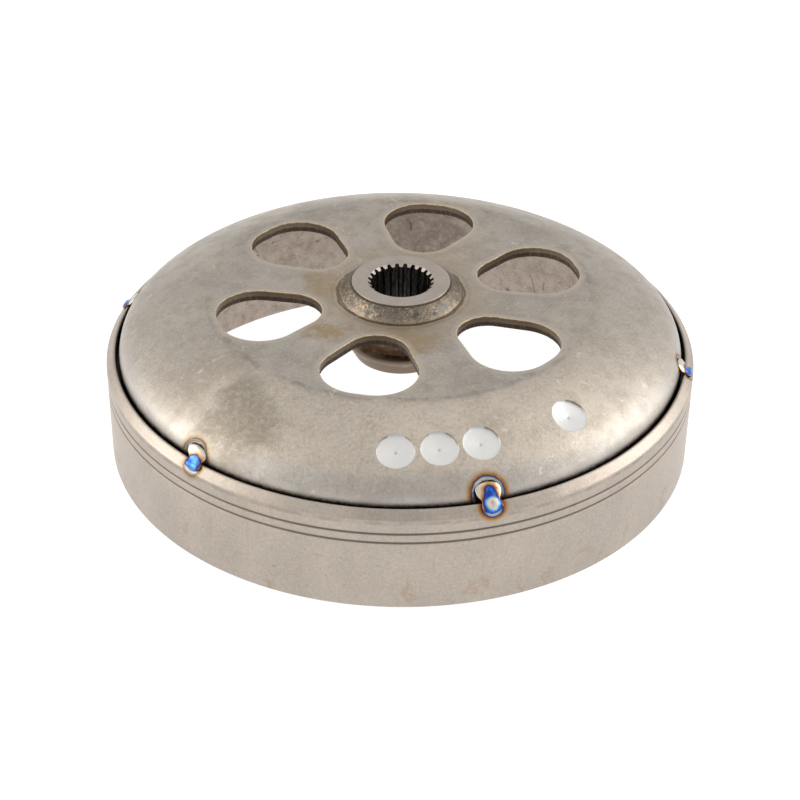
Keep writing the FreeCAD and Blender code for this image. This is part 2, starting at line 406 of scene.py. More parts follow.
def add_spot(sheet, azimuth, distance):
    """Shallow drilled spot: crisp rim, short wall, cone with a centre point."""
    surface = sheet.surface
    centre_s = surface.s_at_radius(distance)
    step = 0.32
    others = [other for other in SPOTS if other[0] != azimuth]
    for extra in (1.5, 0.8, 0.35):
        ring(sheet, centre_s, azimuth, SPOT_RADIUS + extra, step, extra, others)
    ring(sheet, centre_s, azimuth, SPOT_RADIUS, step, loop=True)
    turn = math.radians(azimuth)
    centre = surface.point(np.array([centre_s]), np.array([turn]))[0]
    normal = surface.normal(np.array([centre_s]), np.array([turn]))[0]
    around = np.array([-math.sin(turn), math.cos(turn), 0])
    normal -= math.radians(SPOT_TILT_BACK) * np.cross(around, normal)
    normal /= np.linalg.norm(normal)
    down = np.cross(around, normal)
    drum_radius = float(np.interp(centre_s, surface.s, surface.r))
    for radius, cone_depth in SPOT_RINGS:
        count = max(8, round(2 * math.pi * radius / step)) if radius > 0 else 1
        angle = np.arange(count) * 2 * math.pi / count
        a = radius * np.cos(angle)
        b = radius * np.sin(angle)
        depth = SPOT_WALL_FOOT + cone_depth
        place = centre + np.outer(a, around) + np.outer(b, down) - normal * depth
        sheet.add(centre_s + b, turn + a / drum_radius, place, loop=radius > 1)


def crater_depth(distance, size):
    """Depth of a melted crater against the distance from its rim, counted inwards."""
    lip = 0.10 * np.exp(-((distance + 0.18) / 0.16) ** 2)
    bowl = 0.30 * smoothstep(0, 0.5, distance) + 1.75 * smoothstep(0.6, 1.8 * size, distance)
    return bowl * size - lip


def crater_azimuth(azimuth, lean):
    """Azimuth of a crater that stands lean millimetres aside of its bead's end."""
    return azimuth + math.degrees(lean / CRATER_PATH)


def crater_centre_s(surface, size, lean):
    """The crater's lower side always ends in the gap, so a small or leaning one sits lower."""
    height = 32.2 - (1 - size) * 3.4 - abs(lean) * 0.75
    order = np.argsort(surface.z)
    return float(np.interp(height, surface.z[order], surface.s[order]))


# distances of a crater's rings of points from its rim, counted inwards
CRATER_RINGS = (-1.9, -1.35, -0.95, -0.65, -0.45, -0.3, -0.18, -0.06, 0.06, 0.2, 0.35, 0.55, 0.8,
                1.05, 1.35, 1.7, 2.1)


def add_crater(sheet, azimuth, size, lean):
    """Melted hollow with a raised lip and a slightly wavy rim, where a bead starts on the crown."""
    surface = sheet.surface
    centre_s = crater_centre_s(surface, size, lean)
    radius = CRATER_RADIUS * size
    wobble_seed = int(abs(azimuth) * 10)
    for k, distance in enumerate(CRATER_RINGS):
        here = radius - distance
        if here < 0.4:
            continue
        step = 0.28 if distance > -1 else 0.45
        count = max(8, round(2 * math.pi * here / step))
        turn = (np.arange(count) + 0.5 * (k % 2)) * 2 * math.pi / count
        wobble = 0.12 * size * np.sin(3 * turn + wobble_seed)
        wobble += 0.06 * np.sin(7 * turn + 2 * wobble_seed)
        drum_radius = float(np.interp(centre_s, surface.s, surface.r))
        reach = here + wobble * smoothstep(-2.6, -0.6, distance)
        s = centre_s + reach * np.sin(turn)
        angle = math.radians(azimuth) + reach * np.cos(turn) / drum_radius
        depth = float(crater_depth(np.array([distance]), size)[0])
        rough = 0.05 * soft_noise(surface.point(s, angle), 1.1, wobble_seed)
        rough *= smoothstep(-0.3, 0.4, distance)
        place = surface.point(s, angle) - surface.normal(s, angle) * (depth + rough)[:, None]
        sheet.add(s, angle, place, loop=-0.5 < distance < 1.0)
    middle = surface.point(np.array([centre_s]), np.array([math.radians(azimuth)]))
    middle -= surface.normal(np.array([centre_s]), np.array([math.radians(azimuth)])) * 2.05 * size
    sheet.add([centre_s], [math.radians(azimuth)], middle)


# offset from the window's outline and height against the sheet's outer face, down the punched wall
WALL_ROWS = ((0.95, 0.0), (0.5, 0.0), (0.2, -0.01), (0.08, -0.04), (0.02, -0.1), (0.0, -0.22),
             (0.0, -1.0), (0.01, -1.5), (0.05, -1.75), (0.10, -2.1), (0.13, -2.6), (0.16, -3.02),
             (0.24, -3.2), (0.6, -3.2))
FAR = 20.0
OUTER_FACE, PUNCHED_WALL, SPOT_CUT, INNER_FACE = range(4)


def spot_offsets(s, angle, spot, surface):
    azimuth, distance = spot
    return feature_offsets(s, angle, surface.s_at_radius(distance), azimuth, surface)


def crater_offsets(s, angle, weld, surface):
    azimuth, size, lean = weld
    centre_s = crater_centre_s(surface, size, lean)
    return feature_offsets(s, angle, centre_s, crater_azimuth(azimuth, lean), surface)


def lay_out_sheets(outer, inner):
    """Even rings of points over both faces, clear of the windows, spots and craters."""
    def outer_blocked(s, angle):
        blocked = window_distance(outer.surface.point(s, angle)[:, :2]) < 5.2
        for spot in SPOTS:
            blocked |= np.hypot(*spot_offsets(s, angle, spot, outer.surface)) < SPOT_RADIUS + 1.9
        for weld in WELDS:
            reach = CRATER_RADIUS * weld[1] + 2.3
            blocked |= np.hypot(*crater_offsets(s, angle, weld, outer.surface)) < reach
        return blocked

    def inner_blocked(s, angle):
        near = window_distance(inner.surface.point(s, angle)[:, :2]) < 3.2
        return near & (s < 60)

    for sheet, step, blocked in ((outer, 0.95, outer_blocked), (inner, 1.7, inner_blocked)):
        surface = sheet.surface
        bore_angle = np.arange(120) * 2 * math.pi / 120
        end_angle = np.arange(340) * 2 * math.pi / 340
        sheet.bore_ring = sheet.add(np.full(120, surface.s[0]), bore_angle, loop=True)
        base_points(sheet, surface.s[0] + step, surface.s[-1] - step * 0.5, step, blocked)
        sheet.end_ring = sheet.add(np.full(340, surface.s[-1]), end_angle, loop=True)


def lay_out_window(outer, inner, turn):
    """Rings of points round one window; returns the two rings that its wall joins."""
    for offset in (4.7, 3.7, 2.8, 2.0, 1.45):
        outer.add(*to_surface(outer.surface, rotate2(window_outline(offset, 0.9), turn)))
    for offset in (2.6, 1.5):
        inner.add(*to_surface(inner.surface, rotate2(window_outline(offset, 1.2), turn)))
    top = rotate2(window_outline(WALL_ROWS[0][0]), turn)
    bottom = rotate2(window_outline(WALL_ROWS[-1][0]), turn)
    top_ring = outer.add(*to_surface(outer.surface, top), loop=True)
    bottom_ring = inner.add(*to_surface(inner.surface, bottom), loop=True)
    return turn, top_ring, bottom_ring


class CupMesh:
    """Points, faces and attributes of the cup, gathered stretch by stretch."""

    def __init__(self, outer, inner):
        self.outer = outer
        self.inner = inner
        self.total = outer.count + inner.count
        self.points = [np.vstack(outer.place), np.vstack(inner.place)]
        outer_window = np.clip(window_distance(self.points[0][:, :2]), -1, FAR)
        self.window = [outer_window, np.full(inner.count, FAR)]
        self.depth = [np.zeros(self.total)]
        self.faces = []
        self.kinds = []

    def add_row(self, place, depth=0.0, window=FAR):
        """Adds a closed row of points and returns their numbers."""
        self.points.append(place)
        self.depth.append(np.full(len(place), depth))
        self.window.append(np.full(len(place), window))
        numbers = np.arange(self.total, self.total + len(place))
        self.total += len(place)
        return numbers

    def join(self, upper, lower, kind, inwards=False):
        """Quads between two closed rows of as many points."""
        for j in range(len(upper)):
            i = (j + 1) % len(upper)
            if inwards:
                self.faces.append((upper[j], lower[j], lower[i], upper[i]))
            else:
                self.faces.append((upper[j], upper[i], lower[i], lower[j]))
            self.kinds.append(kind)

    def add_sheet(self, sheet, plate_height, hole_edge, kind, first=0, flip=False):
        """Triangles of one face of the sheet, left out in the bore and the windows."""
        place = np.vstack(sheet.place)
        for face in sheet.triangles():
            middle = place[list(face)].mean(0)
            radius = math.hypot(middle[0], middle[1])
            on_plate = middle[2] > plate_height - 2 and radius < 56
            if radius < PLATE_BORE * 0.999:
                continue
            if on_plate and window_distance(middle[None, :2])[0] < hole_edge:
                continue
            ordered = face[::-1] if flip else face
            self.faces.append(tuple(first + i for i in ordered))
            self.kinds.append(kind)

    def add_window_wall(self, turn, top_ring, bottom_ring):
        """Punched wall of one window: rolled-over rim, smooth shear, torn lower part."""
        surface = self.outer.surface
        rows = [top_ring]
        for offset, height in WALL_ROWS[1:-1]:
            plan = rotate2(window_outline(offset), turn)
            radius = np.hypot(plan[:, 0], plan[:, 1])
            surface_z = np.interp(radius, surface.r[:60], surface.z[:60])
            place = np.column_stack([plan, surface_z + height])
            if height < -1.6:
                tear = soft_noise(place * (1, 1, 0.35), 1.0, 5) * 0.05
                place[:, :2] *= (1 + tear / radius)[:, None]
            rows.append(self.add_row(place, -height / SHEET, offset))
        rows.append(bottom_ring + self.outer.count)
        for level, (upper, lower) in enumerate(zip(rows, rows[1:])):
            self.join(upper, lower, PUNCHED_WALL if level >= 2 else OUTER_FACE)

    def add_skirt_end(self):
        """Open edge of the skirt, with both its corners broken."""
        count = len(self.outer.end_ring)
        angle = np.arange(count) * 2 * math.pi / count
        rows = [self.outer.end_ring]
        for radius in (CUP_OUTER - SKIRT_EDGE, CUP_OUTER - SHEET + SKIRT_EDGE):
            rows.append(self.add_row(np.column_stack([radius * np.cos(angle), radius * np.sin(angle),
                                                      np.full(count, -SKIRT_REACH)])))
        rows.append(self.inner.end_ring + self.outer.count)
        for upper, lower in zip(rows, rows[1:]):
            self.join(upper, lower, INNER_FACE, inwards=True)

    def feature_distances(self):
        """Distances of the outer face's points from spots and craters, and nearness to the largest weld."""
        surface = self.outer.surface
        flat = np.vstack(self.outer.flat)
        s = np.hypot(flat[:, 0], flat[:, 1])
        angle = np.arctan2(self.points[0][:, 1], self.points[0][:, 0])
        spot_distance = np.full(self.total, FAR)
        heat = np.full(self.total, FAR)
        strong = np.zeros(self.total)
        count = self.outer.count
        for spot in SPOTS:
            distance = np.hypot(*spot_offsets(s, angle, spot, surface))
            spot_distance[:count] = np.minimum(spot_distance[:count], distance)
        for weld in WELDS:
            size = weld[1]
            distance = np.hypot(*crater_offsets(s, angle, weld, surface))
            heat[:count] = np.minimum(heat[:count], (distance - CRATER_RADIUS * size) / size)
            if size == 1:
                strong[:count] = smoothstep(14, 9, distance)
        return spot_distance, heat, strong


def build_cup(steel, wall_steel, spot_steel, inner_steel):
    """The drawn cup: outer face, inner face, six punched walls and the skirt's end."""
    outer = Sheet(Surface(outer_profile()))
    inner = Sheet(Surface(inner_profile()))
    lay_out_sheets(outer, inner)
    rims = [lay_out_window(outer, inner, WINDOW_AZIMUTH + 60 * k) for k in range(6)]
    for azimuth, distance in SPOTS:
        add_spot(outer, azimuth, distance)
    for azimuth, size, lean in WELDS:
        add_crater(outer, crater_azimuth(azimuth, lean), size, lean)

    cup = CupMesh(outer, inner)
    cup.add_sheet(outer, PLATE_TOP, WALL_ROWS[0][0] - 0.05, OUTER_FACE)
    cup.add_sheet(inner, PLATE_TOP - SHEET, WALL_ROWS[-1][0] - 0.05, INNER_FACE, outer.count, flip=True)
    for turn, top_ring, bottom_ring in rims:
        cup.add_window_wall(turn, top_ring, bottom_ring)
    cup.add_skirt_end()
    cup.join(outer.bore_ring, inner.bore_ring + outer.count, PUNCHED_WALL, inwards=True)

    spot_distance, heat, strong = cup.feature_distances()
    kinds = np.array(cup.kinds)
    for number, face in enumerate(cup.faces):
        on_outer = kinds[number] == OUTER_FACE and max(face) < outer.count
        if on_outer and spot_distance[list(face)].max() < SPOT_RADIUS + 0.02:
            kinds[number] = SPOT_CUT
    return make_piece("bell_cup_skin", np.vstack(cup.points), cup.faces,
                      [steel, wall_steel, spot_steel, inner_steel], kinds,
                      {"wall_depth": np.concatenate(cup.depth), "spot_radius": spot_distance,
                       "weld_distance": heat, "window_distance": np.concatenate(cup.window),
                       "weld_strength": strong})


# ---------------------------------------------------------------- band
def build_band(steel):
    """Turned band with rounded corners, two grooves and a relieved mouth."""
    outline = [(CUP_OUTER + 0.02, 0.4), (CUP_OUTER + 0.42, 0.0), (BAND_OUTER - 0.35, 0.0),
               (BAND_OUTER, 0.35)]
    for height in sorted(GROOVES):
        outline += [(BAND_OUTER, height - 0.4), (BAND_OUTER - 0.06, height - 0.28),
                    (BAND_OUTER - 0.18, height - 0.12), (BAND_OUTER - 0.21, height),
                    (BAND_OUTER - 0.18, height + 0.12), (BAND_OUTER - 0.06, height + 0.28),
                    (BAND_OUTER, height + 0.4)]
    edge = BAND_HEIGHT - BAND_SLOPE_DROP
    outline += [(BAND_OUTER, edge - 0.7), (BAND_OUTER - 0.03, edge - 0.4), (BAND_OUTER - 0.13, edge - 0.12),
                (BAND_OUTER - 0.32, edge + 0.14), (BAND_OUTER - 0.6, edge + 0.36),
                (81.5, BAND_HEIGHT - 0.08), (81.3, BAND_HEIGHT), (RELIEF_RADIUS + 0.35, BAND_HEIGHT - 0.02),
                (RELIEF_RADIUS, BAND_HEIGHT - 0.4), (RELIEF_RADIUS, RELIEF_FLOOR),
                (CUP_OUTER + 0.02, RELIEF_FLOOR)]
    profile = refine(outline, 0.8)
    azimuths = band_azimuths()
    points, faces = lathe(profile, azimuths)
    wear = soft_noise(points, 9.0, 21) * 0.012 + soft_noise(points, 2.2, 22) * 0.006
    radius = np.hypot(points[:, 0], points[:, 1])
    near_top = smoothstep(27.0, 28.6, points[:, 2]) * smoothstep(81.2, 82.0, radius)
    points[:, 2] += wear * near_top * 3
    heat = np.full(len(points), FAR)
    strong = np.zeros(len(points))
    for azimuth, size, _ in WELDS:
        turn = math.radians(azimuth)
        centre = np.array([PUDDLE_CENTRE[0] * math.cos(turn), PUDDLE_CENTRE[0] * math.sin(turn),
                           PUDDLE_CENTRE[1] - 0.3])
        distance = np.linalg.norm(points - centre, axis=1) - PUDDLE_RADIUS * size
        heat = np.minimum(heat, distance / size)
        if size == 1:
            strong = smoothstep(14, 9, distance)
    return make_piece("drum_band_skin", points, faces, [steel], None,
                      {"weld_distance": heat, "weld_strength": strong})


# ---------------------------------------------------------------- hub and braze
def spline_radius(angle):
    """Radius of the splined bore: flat-topped teeth with rounded roots."""
    phase = (np.degrees(angle) / (360 / SPLINE_TEETH)) % 1
    return SPLINE_TIP + (SPLINE_ROOT - SPLINE_TIP) * smoothstep(0.33, 0.16, np.abs(phase - 0.5))


def build_hub(steel, spline_steel):
    """Turned hub; its bore rows follow the spline, and the tooth tips have a chamfer."""
    count = SPLINE_TEETH * 24
    angle = np.arange(count) * 2 * math.pi / count
    unit = np.column_stack([np.cos(angle), np.sin(angle)])
    bore = spline_radius(angle)
    mouth = SPLINE_TIP + SPLINE_CHAMFER
    outside = [(10.6, HUB_TOP), (12.4, HUB_TOP), (13.7, HUB_TOP), (HUB_BOSS, HUB_TOP - 0.08),
               (HUB_BOSS, HUB_TOP - 0.5), (HUB_BOSS, PLATE_TOP - SHEET),
               (HUB_FLANGE, PLATE_TOP - SHEET), (HUB_FLANGE, HUB_FLANGE_UNDERSIDE),
               (15.6, 40.0), (14.2, 38.6), (13.4, 37.0), (13.2, 35.5), (13.2, 33.6), (13.5, 32.9),
               (14.4, 32.35), (14.9, 32.2), (15.2, 32.0), (15.3, 31.7), (15.3, 30.75), (15.2, 30.4),
               (13.1, 26.65), (12.7, HUB_BOTTOM), (11.0, HUB_BOTTOM)]

    def row(radius, height):
        reach = np.broadcast_to(radius, count)
        return np.column_stack([unit * reach[:, None], np.broadcast_to(height, count)])

    drop = (mouth - bore) * SPLINE_CHAMFER_DEPTH / SPLINE_CHAMFER
    rim = np.full(count, mouth)
    rows = [row(rim, HUB_TOP)]
    rows += [row(r, z) for r, z in outside]
    rows += [row(rim, HUB_BOTTOM), row(bore, HUB_BOTTOM + drop)]
    rows += [row(bore, z) for z in np.linspace(HUB_BOTTOM + 1, HUB_TOP - 1, 8)]
    rows.append(row(bore, HUB_TOP - drop))
    points = np.vstack(rows)
    faces = grid_faces(len(rows), count, flip=True)
    last = (len(rows) - 1) * count
    for j in range(count):
        i = (j + 1) % count
        faces.append((last + i, last + j, j, i))
    row_of = np.repeat(np.arange(len(rows)), count)
    kinds = np.where((row_of > len(outside) + 1) & (row_of < len(rows) - 1), 1, 0)
    return make_piece("splined_hub_skin", points, faces, [steel, spline_steel], kinds, None, sharp=28)


def build_braze(name, material, outline, seed, lump):
    """Ring of braze with a lumpy face and an uneven foot on the plate."""
    azimuths = np.arange(-180, 180, 0.75)
    profile = refine(outline, 0.35)
    points, faces = lathe(profile, azimuths)
    radius = np.hypot(points[:, 0], points[:, 1])
    angle = np.arctan2(points[:, 1], points[:, 0])
    inside = outline[0][0]
    foot = max(r for r, _ in outline)
    share = np.clip((radius - inside) / (foot - inside), 0, 1)
    around = np.column_stack([np.cos(angle), np.sin(angle), angle * 0]) * 16
    drift = soft_noise(around, 15.0, seed) * 0.16 + soft_noise(around, 5.0, seed + 1) * 0.04
    lumps = soft_noise(points, 2.8, seed + 2) * lump + soft_noise(points, 1.0, seed + 3) * lump * 0.4
    push = share * drift + smoothstep(0.08, 0.4, share) * smoothstep(1.0, 0.8, share) * lumps
    points[:, 0] *= 1 + push / radius
    points[:, 1] *= 1 + push / radius
    return make_piece(name, points, faces, [material], None, {"foot": share}, sharp=60)


# ---------------------------------------------------------------- welds
def build_weld(number, azimuth, size, lean, material):
    """Bead swept from the crater over the gap and onto the band, wide at both ends."""
    path = np.array([(77.3, 34.4), (77.8, 34.1), (78.6, 33.3), (79.7, 31.9), (80.8, 30.9), (81.8, 30.45),
                     (82.7, 30.0), (83.25, 29.1), (83.42, 28.1)])
    path = (path - PUDDLE_CENTRE) * (size - abs(lean) * 0.12) + PUDDLE_CENTRE
    path[-3:, 0] = np.minimum(path[-3:, 0] + (1 - size) * 0.8, 83.4)
    width = np.array([0.4, 2.6, 3.45, 3.35, 2.35, 2.75, 2.85, 2.3, 0.5]) * size
    above = np.array([0.1, 0.35, 0.6, 0.85, 0.75, 0.5, 0.4, 0.25, 0.05]) * size
    below = np.array([0.2, 0.8, 1.3, 1.6, 1.4, 0.9, 0.8, 0.7, 0.2]) * size
    rows = 46
    t = np.linspace(0, len(path) - 1, rows)
    index = np.arange(len(path))

    def smooth(values):
        fine = np.interp(t, index, values)
        for _ in range(3):
            fine[1:-1] = (fine[:-2] + 2 * fine[1:-1] + fine[2:]) / 4
        return fine

    centre = np.column_stack([smooth(path[:, 0]), smooth(path[:, 1])])
    along = np.gradient(centre, axis=0)
    along /= np.linalg.norm(along, axis=1)[:, None]
    up = np.column_stack([-along[:, 1], along[:, 0]])
    up *= np.sign(up[:, 1])[:, None]
    half = smooth(width)
    high = smooth(above)
    low = smooth(below)
    columns = 44
    turn = np.arange(columns) * 2 * math.pi / columns
    points = []
    lateral = []
    for k in range(rows):
        aside = lean * smoothstep(81.6, CRATER_PATH, centre[k, 0])
        across = half[k] * np.cos(turn) + aside
        rise = np.where(np.sin(turn) > 0, high[k], low[k]) * np.sin(turn)
        r = centre[k, 0] + up[k, 0] * rise
        z = centre[k, 1] + up[k, 1] * rise
        points.append(np.column_stack([r, across, z]))
        lateral.append(across)
    points = np.vstack(points)
    seed = number * 11
    points += 0.035 * size * np.column_stack([soft_noise(points, 2.4, seed + j) for j in range(3)])
    steps = np.linalg.norm(np.diff(centre, axis=0), axis=1)
    run = np.repeat(np.concatenate([[0], np.cumsum(steps)]), columns)
    middle = np.interp(PUDDLE_CENTRE[0], centre[:, 0], run[::columns])
    a = np.concatenate(lateral) / size
    b = (middle - run) / size
    tail_length = 3.6
    tail = np.clip(b / tail_length, 0, 1) if size == 1 else np.zeros(len(b))
    radius = PUDDLE_RADIUS - 0.15
    drop = np.hypot(a, b - tail * tail_length) - radius * (1 - 0.45 * tail)
    middle_drop = np.minimum(np.hypot(a, b) - radius, -0.45)
    drop = np.maximum(drop - 0.8 * smoothstep(-0.8, -2.6, b), middle_drop if size == 1 else -0.6)
    faces = grid_faces(rows, columns)
    first = len(points)
    ends = np.array([points[:columns].mean(0), points[-columns:].mean(0)])
    points = np.vstack([points, ends])
    drop = np.concatenate([drop, [1.0, 0.5]])
    for j in range(columns):
        i = (j + 1) % columns
        faces.append((first, i, j))
        faces.append((first + 1, first - columns + j, first - columns + i))
    c = math.cos(math.radians(azimuth))
    s = math.sin(math.radians(azimuth))
    turned = np.column_stack([points[:, 0] * c - points[:, 1] * s, points[:, 0] * s + points[:, 1] * c,
                              points[:, 2]])
    return make_piece(f"rim_weld_{number}_bead", turned, faces, [material], None, {"drop_distance": drop})


# ---------------------------------------------------------------- materials
class Nodes:
    """Small helper that adds shader nodes and links them."""

    def __init__(self, name):
        self.material = bpy.data.materials.new(name)
        self.material.use_nodes = True
        self.tree = self.material.node_tree
        self.tree.nodes.clear()
        self.output = self.new("ShaderNodeOutputMaterial")
        self.shader = self.new("ShaderNodeBsdfPrincipled")
        self.link(self.shader.outputs[0], self.output.inputs["Surface"])

    def new(self, kind, **settings):
        node = self.tree.nodes.new(kind)
        for key, value in settings.items():
            setattr(node, key, value)
        return node

    def link(self, source, target):
        if isinstance(source, (int, float)):
            target.default_value = source
        elif isinstance(source, tuple):
            target.default_value = source + (1.0,) if len(source) == 3 else source
        else:
            self.tree.links.new(source, target)

    def position(self, scale=(1, 1, 1)):
        """Object coordinates in millimetres, stretched by scale."""
        coordinates = self.new("ShaderNodeTexCoord")
        mapping = self.new("ShaderNodeMapping")
        mapping.inputs["Scale"].default_value = [1000 * v for v in scale]
        self.link(coordinates.outputs["Object"], mapping.inputs["Vector"])
        return mapping.outputs["Vector"]

    def height(self):
        """Height above the band's lower face, in millimetres."""
        axes = self.new("ShaderNodeSeparateXYZ")
        self.link(self.position(), axes.inputs[0])
        return self.math("SUBTRACT", axes.outputs["Z"], SKIRT_REACH)

    def from_axis(self, x=0.0, y=0.0):
        """Distance in plan from the drum's axis, or from a line beside it, in millimetres."""
        node = self.new("ShaderNodeVectorMath", operation="DISTANCE")
        self.link(self.position((1, 1, 0)), node.inputs[0])
        node.inputs[1].default_value = (x, y, 0)
        return node.outputs["Value"]

    def drift(self, value, noise, amount):
        """Value shifted to and fro by a noise."""
        return self.math("ADD", value, self.span(noise, 0.3, 0.7, -amount, amount, smooth=False))

    def line(self, value, centre, half_width, strength):
        """Mask that is strongest where value equals centre."""
        away = self.math("ABSOLUTE", self.math("SUBTRACT", value, centre))
        return self.span(away, half_width * 0.3, half_width, strength, 0.0)

    def noise(self, vector, size, detail=3.0, roughness=0.55, distortion=0.0):
        """Noise whose largest features are about size millimetres."""
        node = self.new("ShaderNodeTexNoise")
        node.inputs["Scale"].default_value = 1 / size
        node.inputs["Detail"].default_value = detail
        node.inputs["Roughness"].default_value = roughness
        node.inputs["Distortion"].default_value = distortion
        self.link(vector, node.inputs["Vector"])
        return node.outputs["Fac"]

    def attribute(self, name):
        return self.new("ShaderNodeAttribute", attribute_name=name).outputs["Fac"]

    def math(self, operation, a, b=0.0, clamp=False):
        node = self.new("ShaderNodeMath", operation=operation, use_clamp=clamp)
        self.link(a, node.inputs[0])
        self.link(b, node.inputs[1])
        return node.outputs[0]

    def span(self, value, low, high, to_low=0.0, to_high=1.0, smooth=True):
        node = self.new("ShaderNodeMapRange", interpolation_type="SMOOTHSTEP" if smooth else "LINEAR")
        self.link(value, node.inputs["Value"])
        node.inputs["From Min"].default_value = low
        node.inputs["From Max"].default_value = high
        node.inputs["To Min"].default_value = to_low
        node.inputs["To Max"].default_value = to_high
        return node.outputs["Result"]

    def ramp(self, value, stops):
        node = self.new("ShaderNodeValToRGB")
        elements = node.color_ramp.elements
        while len(elements) < len(stops):
            elements.new(0.5)
        for element, (position, colour) in zip(elements, stops):
            element.position = position
            element.color = (*colour, 1.0)
        self.link(value, node.inputs["Fac"])
        return node.outputs["Color"]

    def mix(self, factor, a, b, blend="MIX"):
        node = self.new("ShaderNodeMix", data_type="RGBA", blend_type=blend)
        self.link(factor, node.inputs["Factor"])
        self.link(a, node.inputs[6])
        self.link(b, node.inputs[7])
        return node.outputs[2]

    def bump(self, height, strength, distance, below=None):
        node = self.new("ShaderNodeBump")
        node.inputs["Strength"].default_value = strength
        node.inputs["Distance"].default_value = distance * MM
        self.link(height, node.inputs["Height"])
        if below is not None:
            self.link(below, node.inputs["Normal"])
        return node.outputs["Normal"]

    def finish(self, colour, roughness, normal=None, metallic=1.0):
        self.link(colour, self.shader.inputs["Base Color"])
        self.link(roughness, self.shader.inputs["Roughness"])
        self.shader.inputs["Metallic"].default_value = metallic
        if normal is not None:
            self.link(normal, self.shader.inputs["Normal"])
        return self.material


def scratches(n, vector, size, seed, width=0.03):
    """Mask of sparse short scratches: thin level lines of noise, broken up by a second noise."""
    offset = n.new("ShaderNodeMapping")
    offset.inputs["Location"].default_value = (seed * 13.1, seed * 7.7, seed * 3.3)
    n.link(vector, offset.inputs["Vector"])
    lines = n.noise(offset.outputs["Vector"], size, 1.0, 0.4, 1.2)
    line = n.span(n.math("ABSOLUTE", n.math("SUBTRACT", lines, 0.5)), 0.0, width, 1.0, 0.0)
    breaks = n.noise(offset.outputs["Vector"], size * 0.45, 2.0)
    return n.math("MULTIPLY", line, n.span(breaks, 0.56, 0.66))


def temper_colours(n, base):
    """Heat tint round the welds, over base: navy and straw at the largest, straw at the others."""
    distance = n.drift(n.attribute("weld_distance"), n.noise(n.position(), 2.0, 2), 0.12)
    place = n.span(distance, -1.0, 3.0, smooth=False)
    vivid = n.ramp(place, [
        (0.00, (0.30, 0.26, 0.22)), (0.10, (0.40, 0.38, 0.36)), (0.19, (0.32, 0.33, 0.34)),
        (0.235, (0.12, 0.24, 0.36)), (0.265, (0.03, 0.05, 0.24)), (0.30, (0.07, 0.03, 0.04)),
        (0.36, (0.22, 0.10, 0.03)), (0.50, (0.36, 0.21, 0.10)), (0.66, (0.42, 0.32, 0.21)),
        (1.00, (0.40, 0.36, 0.32))])
    pale = n.ramp(place, [
        (0.00, (0.30, 0.26, 0.22)), (0.12, (0.42, 0.37, 0.31)), (0.20, (0.27, 0.235, 0.20)),
        (0.25, (0.36, 0.31, 0.26)), (0.31, (0.13, 0.10, 0.08)), (0.38, (0.27, 0.19, 0.12)),
        (0.52, (0.36, 0.275, 0.19)), (0.70, (0.42, 0.345, 0.27)), (1.00, (0.42, 0.37, 0.32))])
    tint = n.mix(n.attribute("weld_strength"), pale, vivid)
    return n.mix(n.span(distance, 0.7, 2.6, 1.0, 0.0), base, tint)


def stain(n, base, x, y, size, strength, colour):
    """Irregular patch of colour round one place in plan."""
    p = n.position()
    away = n.drift(n.from_axis(x, y), n.noise(p, size * 0.7, 4, 0.6), size * 0.5)
    fade = n.span(away, size * 0.3, size, strength, 0.0)
    broken = n.span(n.noise(p, 1.6, 4, 0.7), 0.3, 0.6, 0.45, 1.0)
    return n.mix(n.math("MULTIPLY", fade, broken), base, colour)


